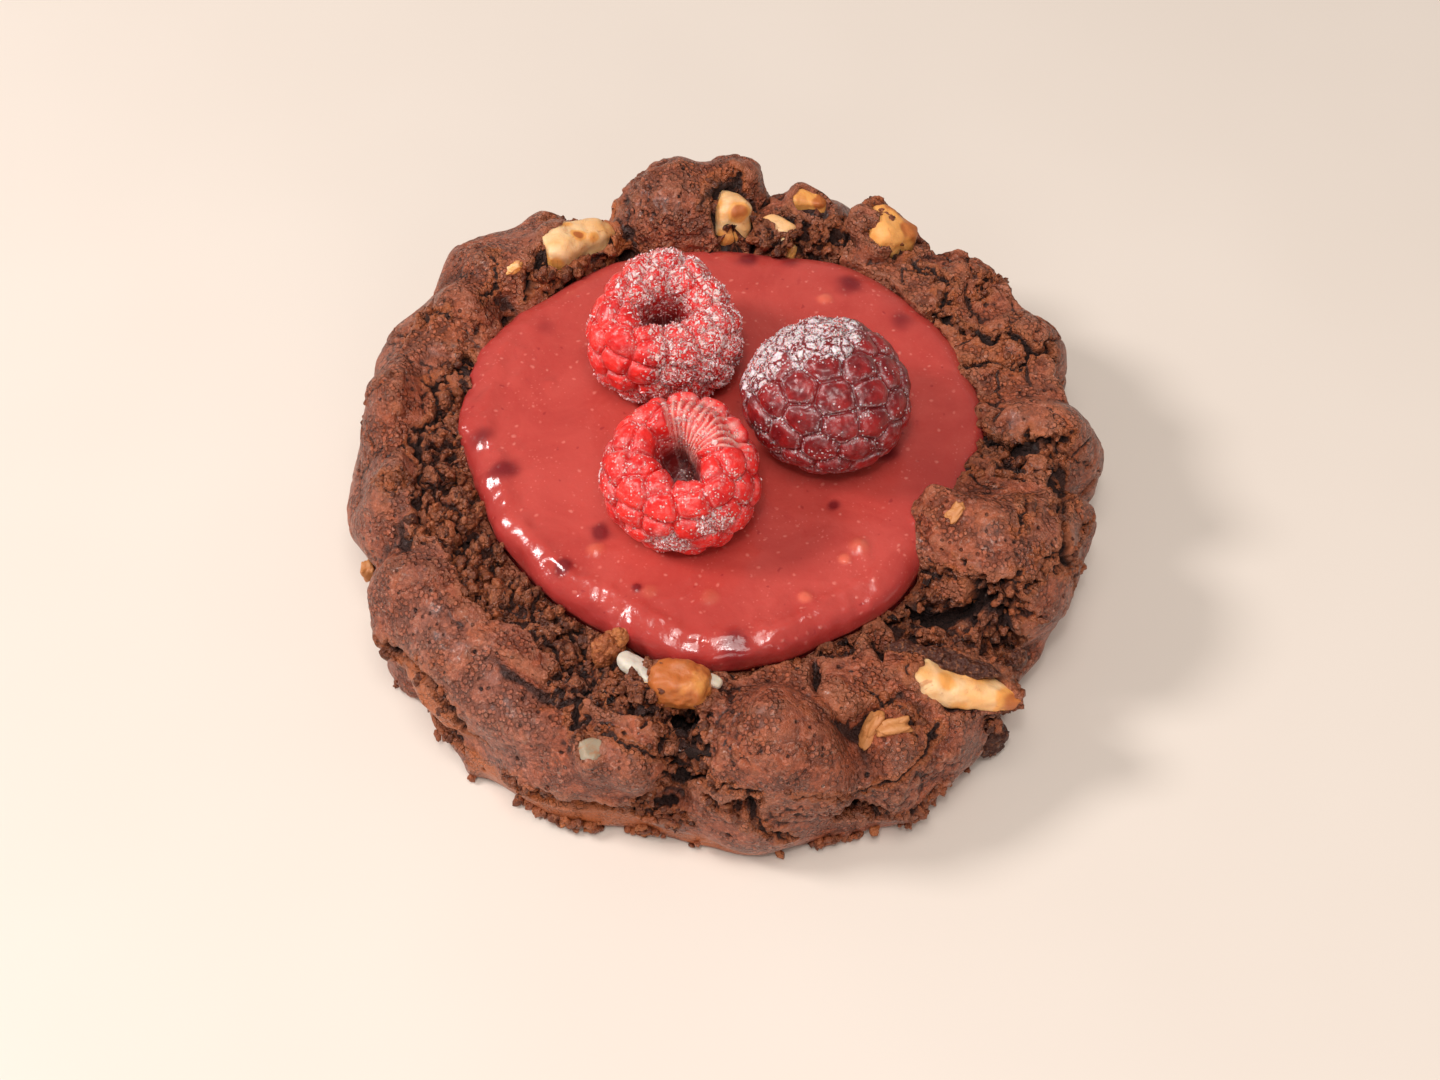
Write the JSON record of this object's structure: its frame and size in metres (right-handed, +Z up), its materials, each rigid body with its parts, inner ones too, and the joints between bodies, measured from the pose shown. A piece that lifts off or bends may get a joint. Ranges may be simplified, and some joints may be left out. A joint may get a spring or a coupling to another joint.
{
  "type": "filled cookie",
  "caption": "Thick round chocolate cookie with a raised broken rim, a glossy raspberry ganache pool, frosted raspberries and white chocolate chunks.",
  "frame": {"origin": "middle of the cookie's flat underside", "axes": "+Z up, away from the plate; -Y towards the near side, which holds the long white chunk on its right; +X to the right"},
  "size_m": [0.0931, 0.092, 0.0357],
  "materials": {
    "dough": "baked chocolate dough, matt and crackled",
    "filling": "glossy pinkish-red raspberry ganache with pale specks",
    "berry_red": "bright red raspberry, frosted in parts",
    "berry_dark": "dark red raspberry under white frost",
    "ivory": "white chocolate, waxy, caramelised in parts",
    "caramel": "white chocolate toasted to caramel"
  },
  "bodies": {
    "root": {"cookie": "dough", "ganache": "filling", "raspberry_left": "berry_red", "raspberry_near": "berry_red", "raspberry_right": "berry_dark", "chunk_far_left": "ivory", "chunk_far": "ivory", "chunk_far_small": "ivory", "chunk_far_crest": "caramel", "chunk_far_right": "caramel", "chunk_near": "ivory", "chunk_near_small": "ivory", "chunk_near_right": "ivory"}
  },
  "joints": []
}
